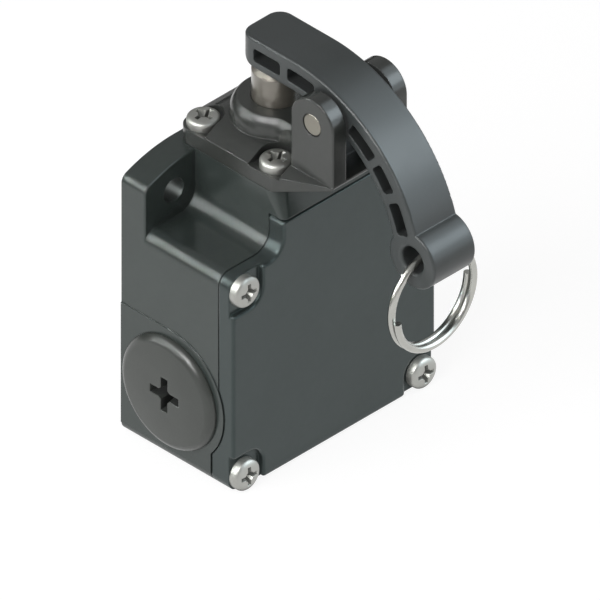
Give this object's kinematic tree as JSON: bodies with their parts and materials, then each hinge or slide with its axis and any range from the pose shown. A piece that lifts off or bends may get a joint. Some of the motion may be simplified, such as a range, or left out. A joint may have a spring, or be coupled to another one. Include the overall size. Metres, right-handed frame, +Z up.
{
  "type": "rope pull switch",
  "caption": "Wall-mounted rope pull switch: grey cast housing with screwed front cover, threaded conduit entries, a plunger head and a curved pull lever with a split ring.",
  "frame": {"origin": "midway between the two mounting holes, on the back mounting face", "axes": "+X to the right seen from the front, +Y into the wall, +Z up"},
  "size_m": [0.0602, 0.0645, 0.0903],
  "materials": {
    "casting_paint": "dark grey satin powder coat on a zinc casting",
    "cover_paint": "dark grey satin powder coat on a zinc casting",
    "head_paint": "dark warm grey satin powder coat",
    "lever_polymer": "dark grey glass-filled polymer, satin",
    "plug_polymer": "dark grey moulded polymer, matte",
    "seal_rubber": "black nitrile rubber",
    "zinc_screw": "bright zinc-plated steel",
    "bush_brass": "turned brass",
    "contact_brass": "stamped brass with silvered tips",
    "pin_steel": "ground stainless steel",
    "plunger_steel": "polished stainless steel",
    "ring_steel": "bright spring steel wire",
    "spring_steel": "drawn spring wire",
    "block_polymer": "black moulded polymer",
    "carriage_polymer": "natural white acetal"
  },
  "bodies": {
    "housing_body": {"housing": "casting_paint", "front_cover": "cover_paint", "cover_gasket": "seal_rubber", "cover_screws": "zinc_screw", "conduit_plug_left": "plug_polymer", "conduit_plug_right": "plug_polymer", "plug_seals": "seal_rubber", "head_body": "head_paint", "head_gasket": "seal_rubber", "head_screws": "zinc_screw", "plunger_bush": "bush_brass", "plunger_seal": "seal_rubber", "pivot_pin": "pin_steel", "plunger_spring": "spring_steel", "contact_block_base": "block_polymer", "contact_block_cover": "block_polymer", "contact_block_screws": "zinc_screw", "fixed_contacts_closed": "contact_brass", "fixed_contacts_open": "contact_brass", "terminal_clamps": "zinc_screw", "terminal_screws": "zinc_screw", "earth_clamp": "zinc_screw", "earth_screw": "zinc_screw", "carriage_spring": "spring_steel"},
    "lever_arm": {"lever": "lever_polymer"},
    "rope_ring": {"split_ring": "ring_steel"},
    "plunger_body": {"plunger": "plunger_steel"},
    "carriage": {"contact_carriage": "carriage_polymer", "contact_bridges": "contact_brass", "bridge_spring": "spring_steel"}
  },
  "joints": [
    {"name": "lever_pull", "type": "hinge", "parent": "housing_body", "child": "lever_arm", "pos_m": [0, -0.0351, 0.025], "axis": [-1, 0, 0], "range_deg": [0, 15], "stiffness_Nm_per_rad": 1.6, "springref_deg": -5.36},
    {"name": "plunger_slide", "type": "slide", "parent": "housing_body", "child": "plunger_body", "axis": [0, 0, -1], "range_m": [0, 0.0057], "deforming": ["plunger_spring"]},
    {"name": "carriage_slide", "type": "slide", "parent": "housing_body", "child": "carriage", "axis": [0, 0, -1], "range_m": [0, 0.0057], "deforming": ["carriage_spring"]},
    {"name": "ring_swing", "type": "hinge", "parent": "lever_arm", "child": "rope_ring", "pos_m": [0, -0.05817, 0.00172], "axis": [-1, 0, 0], "range_deg": [-90, 170]}
  ],
  "couplings": [
    {"joint": "plunger_slide", "follows": "lever_pull", "m_per_rad": 0.0214},
    {"joint": "carriage_slide", "follows": "lever_pull", "m_per_rad": 0.0214}
  ]
}
